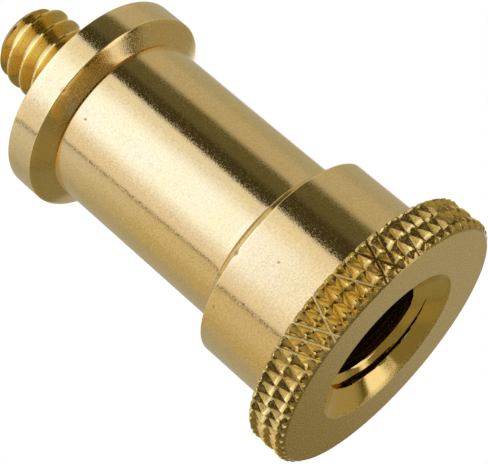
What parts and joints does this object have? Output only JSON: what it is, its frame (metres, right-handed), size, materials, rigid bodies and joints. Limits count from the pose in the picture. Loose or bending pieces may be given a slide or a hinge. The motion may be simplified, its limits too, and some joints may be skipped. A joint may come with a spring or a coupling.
{
  "type": "tripod thread adapter",
  "caption": "Turned brass spigot adapter with a short male camera thread above a collar, a waisted shank and a knurled rim around a countersunk female thread.",
  "frame": {"origin": "centre of the flat end face inside the knurled rim, which is also the bottom centre of the bounding box", "axes": "+Z along the axis from the socket end towards the male thread; X passes through a point in the lowest full row of the knurl, and Y is square to both"},
  "size_m": [0.0202, 0.0202, 0.0358],
  "materials": {
    "turned_brass": "satin, as turned"
  },
  "bodies": {
    "root": {"stud_adapter": "turned_brass"}
  },
  "joints": []
}
